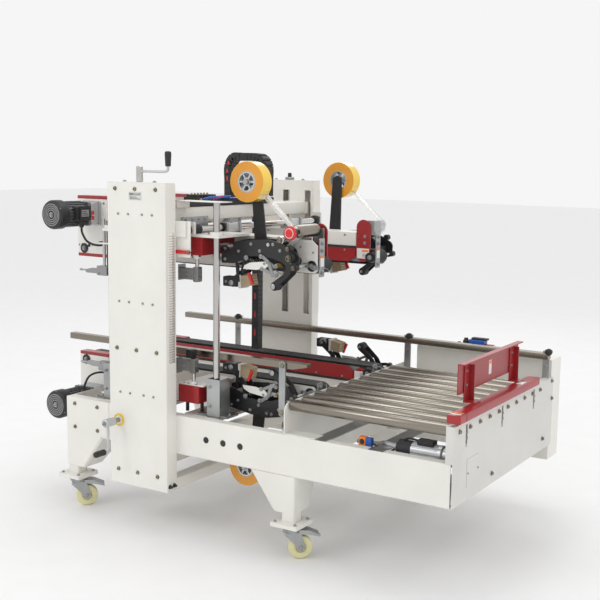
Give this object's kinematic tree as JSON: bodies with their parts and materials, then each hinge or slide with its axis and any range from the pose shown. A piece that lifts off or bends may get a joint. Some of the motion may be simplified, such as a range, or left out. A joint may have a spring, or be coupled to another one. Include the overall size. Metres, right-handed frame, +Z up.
{
  "type": "carton sealer machine",
  "caption": "Side-belt carton sealer with a lifting gantry between columns, tape heads at the carton edges, a driven roller table and castors.",
  "frame": {"origin": "on the floor, under the middle of the machine's bounding box", "axes": "+X along the bed towards the roller table, +Y from the crank side to the far side, +Z up"},
  "size_m": [1.942, 1.288, 1.48],
  "materials": {
    "white_paint": "powder coat, satin",
    "red_paint": "powder coat, semi-gloss",
    "black_steel": "satin black",
    "galvanised": "zinc plated",
    "polished": "polished",
    "rollers": "turned stainless",
    "rubber": "matte",
    "tape": "glossy film",
    "motor": "painted casting",
    "red_plastic": "moulded",
    "tyre": "polyurethane",
    "screws": "zinc plated"
  },
  "bodies": {
    "frame": {"bed_frame": "white_paint", "portal_frame": "white_paint", "legs": "white_paint", "table_frame": "white_paint", "control_cabinet": "white_paint", "far_guide_rail": "rollers", "machine_bolts": "screws", "belt_unit_lower_far": "white_paint", "drive_belt_lower_far": "rubber", "gearmotor_lower_far": "motor", "tape_head_lower_far": "black_steel"},
    "gantry": {"gantry_beam": "white_paint", "belt_unit_upper_far": "white_paint", "drive_belt_upper_far": "rubber", "gearmotor_upper_far": "motor", "tape_head_upper_far": "black_steel"},
    "near_upper": {"belt_unit_upper_near": "white_paint", "drive_belt_upper_near": "rubber", "gearmotor_upper_near": "motor", "tape_head_upper_near": "black_steel"},
    "near_lower": {"belt_unit_lower_near": "white_paint", "drive_belt_lower_near": "rubber", "gearmotor_lower_near": "motor", "tape_head_lower_near": "black_steel", "near_guide_rail": "rollers"},
    "height_crank": {"height_crank": "polished"},
    "rear_lift_screw": {"rear_lift_screw": "polished"},
    "width_crank": {"width_crank": "polished"},
    "table_guard": {"table_guard": "red_paint"},
    "emergency_stop": {"emergency_stop": "red_plastic"},
    "tape_roll_upper_near": {"tape_roll_upper_near": "tape"},
    "applying_arm_upper_near": {"applying_arm_upper_near": "black_steel"},
    "wiping_arm_upper_near": {"wiping_arm_upper_near": "black_steel"},
    "tape_roll_lower_near": {"tape_roll_lower_near": "tape"},
    "applying_arm_lower_near": {"applying_arm_lower_near": "black_steel"},
    "wiping_arm_lower_near": {"wiping_arm_lower_near": "black_steel"},
    "tape_roll_upper_far": {"tape_roll_upper_far": "tape"},
    "applying_arm_upper_far": {"applying_arm_upper_far": "black_steel"},
    "wiping_arm_upper_far": {"wiping_arm_upper_far": "black_steel"},
    "tape_roll_lower_far": {"tape_roll_lower_far": "tape"},
    "applying_arm_lower_far": {"applying_arm_lower_far": "black_steel"},
    "wiping_arm_lower_far": {"wiping_arm_lower_far": "black_steel"},
    "roller_01": {"roller_01": "rollers"},
    "roller_02": {"roller_02": "rollers"},
    "roller_03": {"roller_03": "rollers"},
    "roller_04": {"roller_04": "rollers"},
    "roller_05": {"roller_05": "rollers"},
    "roller_06": {"roller_06": "rollers"},
    "roller_07": {"roller_07": "rollers"},
    "roller_08": {"roller_08": "rollers"},
    "roller_09": {"roller_09": "rollers"},
    "roller_10": {"roller_10": "rollers"},
    "castor_fork_front_left": {"castor_fork_front_left": "galvanised"},
    "castor_wheel_front_left": {"castor_wheel_front_left": "tyre"},
    "castor_fork_front_right": {"castor_fork_front_right": "galvanised"},
    "castor_wheel_front_right": {"castor_wheel_front_right": "tyre"},
    "castor_fork_rear_left": {"castor_fork_rear_left": "galvanised"},
    "castor_wheel_rear_left": {"castor_wheel_rear_left": "tyre"},
    "castor_fork_rear_right": {"castor_fork_rear_right": "galvanised"},
    "castor_wheel_rear_right": {"castor_wheel_rear_right": "tyre"}
  },
  "joints": [
    {"name": "height_crank_turn", "type": "hinge", "parent": "frame", "child": "height_crank", "pos_m": [-0.364, -0.475, 1.363], "axis": [0, 0, 1], "range_deg": [-10084, 1804]},
    {"name": "gantry_lift", "type": "slide", "parent": "frame", "child": "gantry", "axis": [0, 0, 1], "range_m": [-0.28, 0.05]},
    {"name": "rear_lift_screw_turn", "type": "hinge", "parent": "frame", "child": "rear_lift_screw", "pos_m": [-0.364, 0.553, 1.363], "axis": [0, 0, 1], "range_deg": [-10084, 1804]},
    {"name": "width_crank_turn", "type": "hinge", "parent": "frame", "child": "width_crank", "pos_m": [-0.455, -0.504, 0.434], "axis": [0, 1, 0], "range_deg": [-364, 9004]},
    {"name": "near_lower_slide", "type": "slide", "parent": "frame", "child": "near_lower", "axis": [0, 1, 0], "range_m": [-0.01, 0.25]},
    {"name": "near_upper_slide", "type": "slide", "parent": "gantry", "child": "near_upper", "axis": [0, 1, 0], "range_m": [-0.0101, 0.2501]},
    {"name": "table_guard_slide", "type": "slide", "parent": "frame", "child": "table_guard", "axis": [0, 0, 1], "range_m": [-0.008, 0.02]},
    {"name": "emergency_stop_push", "type": "slide", "parent": "near_upper", "child": "emergency_stop", "axis": [0, 1, 0], "range_m": [0, 0.004], "stiffness_N_per_m": 800, "springref_m": -0.002},
    {"name": "tape_roll_upper_near_turn", "type": "hinge", "parent": "near_upper", "child": "tape_roll_upper_near", "pos_m": [-0.01, -0.249, 1.371], "axis": [0, 1, 0], "continuous": true},
    {"name": "applying_arm_upper_near_swing", "type": "hinge", "parent": "near_upper", "child": "applying_arm_upper_near", "pos_m": [0.195, -0.249, 1.085], "axis": [0, 1, 0], "range_deg": [0, 40], "stiffness_Nm_per_rad": 4, "springref_deg": -34.38},
    {"name": "wiping_arm_upper_near_swing", "type": "hinge", "parent": "near_upper", "child": "wiping_arm_upper_near", "pos_m": [-0.005, -0.249, 1.085], "axis": [0, 1, 0], "range_deg": [0, 36], "stiffness_Nm_per_rad": 4, "springref_deg": -34.38},
    {"name": "tape_roll_lower_near_turn", "type": "hinge", "parent": "near_lower", "child": "tape_roll_lower_near", "pos_m": [-0.01, -0.249, 0.261], "axis": [0, 1, 0], "continuous": true},
    {"name": "applying_arm_lower_near_swing", "type": "hinge", "parent": "near_lower", "child": "applying_arm_lower_near", "pos_m": [0.195, -0.249, 0.547], "axis": [0, -1, 0], "range_deg": [0, 40], "stiffness_Nm_per_rad": 4, "springref_deg": -34.38},
    {"name": "wiping_arm_lower_near_swing", "type": "hinge", "parent": "near_lower", "child": "wiping_arm_lower_near", "pos_m": [-0.005, -0.249, 0.547], "axis": [0, -1, 0], "range_deg": [0, 36], "stiffness_Nm_per_rad": 4, "springref_deg": -34.38},
    {"name": "tape_roll_upper_far_turn", "type": "hinge", "parent": "gantry", "child": "tape_roll_upper_far", "pos_m": [-0.01, 0.426, 1.371], "axis": [0, 1, 0], "continuous": true},
    {"name": "applying_arm_upper_far_swing", "type": "hinge", "parent": "gantry", "child": "applying_arm_upper_far", "pos_m": [0.195, 0.426, 1.085], "axis": [0, 1, 0], "range_deg": [0, 40], "stiffness_Nm_per_rad": 4, "springref_deg": -34.38},
    {"name": "wiping_arm_upper_far_swing", "type": "hinge", "parent": "gantry", "child": "wiping_arm_upper_far", "pos_m": [-0.005, 0.426, 1.085], "axis": [0, 1, 0], "range_deg": [0, 36], "stiffness_Nm_per_rad": 4, "springref_deg": -34.38},
    {"name": "tape_roll_lower_far_turn", "type": "hinge", "parent": "frame", "child": "tape_roll_lower_far", "pos_m": [-0.01, 0.426, 0.261], "axis": [0, 1, 0], "continuous": true},
    {"name": "applying_arm_lower_far_swing", "type": "hinge", "parent": "frame", "child": "applying_arm_lower_far", "pos_m": [0.195, 0.426, 0.547], "axis": [0, -1, 0], "range_deg": [0, 40], "stiffness_Nm_per_rad": 4, "springref_deg": -34.38},
    {"name": "wiping_arm_lower_far_swing", "type": "hinge", "parent": "frame", "child": "wiping_arm_lower_far", "pos_m": [-0.005, 0.426, 0.547], "axis": [0, -1, 0], "range_deg": [0, 36], "stiffness_Nm_per_rad": 4, "springref_deg": -34.38},
    {"name": "roller_01_turn", "type": "hinge", "parent": "frame", "child": "roller_01", "pos_m": [0.613, -0.404, 0.577], "axis": [1, 0, 0], "continuous": true},
    {"name": "roller_02_turn", "type": "hinge", "parent": "frame", "child": "roller_02", "pos_m": [0.613, -0.3185, 0.577], "axis": [1, 0, 0], "continuous": true},
    {"name": "roller_03_turn", "type": "hinge", "parent": "frame", "child": "roller_03", "pos_m": [0.613, -0.233, 0.577], "axis": [1, 0, 0], "continuous": true},
    {"name": "roller_04_turn", "type": "hinge", "parent": "frame", "child": "roller_04", "pos_m": [0.613, -0.1475, 0.577], "axis": [1, 0, 0], "continuous": true},
    {"name": "roller_05_turn", "type": "hinge", "parent": "frame", "child": "roller_05", "pos_m": [0.613, -0.062, 0.577], "axis": [1, 0, 0], "continuous": true},
    {"name": "roller_06_turn", "type": "hinge", "parent": "frame", "child": "roller_06", "pos_m": [0.613, 0.0235, 0.577], "axis": [1, 0, 0], "continuous": true},
    {"name": "roller_07_turn", "type": "hinge", "parent": "frame", "child": "roller_07", "pos_m": [0.613, 0.109, 0.577], "axis": [1, 0, 0], "continuous": true},
    {"name": "roller_08_turn", "type": "hinge", "parent": "frame", "child": "roller_08", "pos_m": [0.613, 0.1945, 0.577], "axis": [1, 0, 0], "continuous": true},
    {"name": "roller_09_turn", "type": "hinge", "parent": "frame", "child": "roller_09", "pos_m": [0.613, 0.28, 0.577], "axis": [1, 0, 0], "continuous": true},
    {"name": "roller_10_turn", "type": "hinge", "parent": "frame", "child": "roller_10", "pos_m": [0.613, 0.3655, 0.577], "axis": [1, 0, 0], "continuous": true},
    {"name": "castor_fork_front_left_swivel", "type": "hinge", "parent": "frame", "child": "castor_fork_front_left", "pos_m": [-0.769, -0.418, 0.125], "axis": [0, 0, 1], "continuous": true},
    {"name": "castor_wheel_front_left_roll", "type": "hinge", "parent": "castor_fork_front_left", "child": "castor_wheel_front_left", "pos_m": [-0.74496, -0.39396, 0.045], "axis": [-0.7071, 0.7071, 0], "continuous": true},
    {"name": "castor_fork_front_right_swivel", "type": "hinge", "parent": "frame", "child": "castor_fork_front_right", "pos_m": [0.301, -0.418, 0.125], "axis": [0, 0, 1], "continuous": true},
    {"name": "castor_wheel_front_right_roll", "type": "hinge", "parent": "castor_fork_front_right", "child": "castor_wheel_front_right", "pos_m": [0.32504, -0.39396, 0.045], "axis": [-0.7071, 0.7071, 0], "continuous": true},
    {"name": "castor_fork_rear_left_swivel", "type": "hinge", "parent": "frame", "child": "castor_fork_rear_left", "pos_m": [-0.769, 0.496, 0.125], "axis": [0, 0, 1], "continuous": true},
    {"name": "castor_wheel_rear_left_roll", "type": "hinge", "parent": "castor_fork_rear_left", "child": "castor_wheel_rear_left", "pos_m": [-0.74496, 0.52004, 0.045], "axis": [-0.7071, 0.7071, 0], "continuous": true},
    {"name": "castor_fork_rear_right_swivel", "type": "hinge", "parent": "frame", "child": "castor_fork_rear_right", "pos_m": [0.301, 0.496, 0.125], "axis": [0, 0, 1], "continuous": true},
    {"name": "castor_wheel_rear_right_roll", "type": "hinge", "parent": "castor_fork_rear_right", "child": "castor_wheel_rear_right", "pos_m": [0.32504, 0.52004, 0.045], "axis": [-0.7071, 0.7071, 0], "continuous": true}
  ],
  "couplings": [
    {"joint": "wiping_arm_upper_near_swing", "follows": "applying_arm_upper_near_swing", "ratio": 0.88},
    {"joint": "wiping_arm_lower_near_swing", "follows": "applying_arm_lower_near_swing", "ratio": 0.88},
    {"joint": "wiping_arm_upper_far_swing", "follows": "applying_arm_upper_far_swing", "ratio": 0.88},
    {"joint": "wiping_arm_lower_far_swing", "follows": "applying_arm_lower_far_swing", "ratio": 0.88},
    {"joint": "height_crank_turn", "follows": "gantry_lift", "rad_per_m": 628.32},
    {"joint": "rear_lift_screw_turn", "follows": "gantry_lift", "rad_per_m": 628.32},
    {"joint": "width_crank_turn", "follows": "near_lower_slide", "rad_per_m": 628.32},
    {"joint": "near_upper_slide", "follows": "near_lower_slide", "ratio": 1},
    {"joint": "roller_02_turn", "follows": "roller_01_turn", "ratio": 1},
    {"joint": "roller_03_turn", "follows": "roller_01_turn", "ratio": 1},
    {"joint": "roller_04_turn", "follows": "roller_01_turn", "ratio": 1},
    {"joint": "roller_05_turn", "follows": "roller_01_turn", "ratio": 1},
    {"joint": "roller_06_turn", "follows": "roller_01_turn", "ratio": 1},
    {"joint": "roller_07_turn", "follows": "roller_01_turn", "ratio": 1},
    {"joint": "roller_08_turn", "follows": "roller_01_turn", "ratio": 1},
    {"joint": "roller_09_turn", "follows": "roller_01_turn", "ratio": 1},
    {"joint": "roller_10_turn", "follows": "roller_01_turn", "ratio": 1}
  ]
}
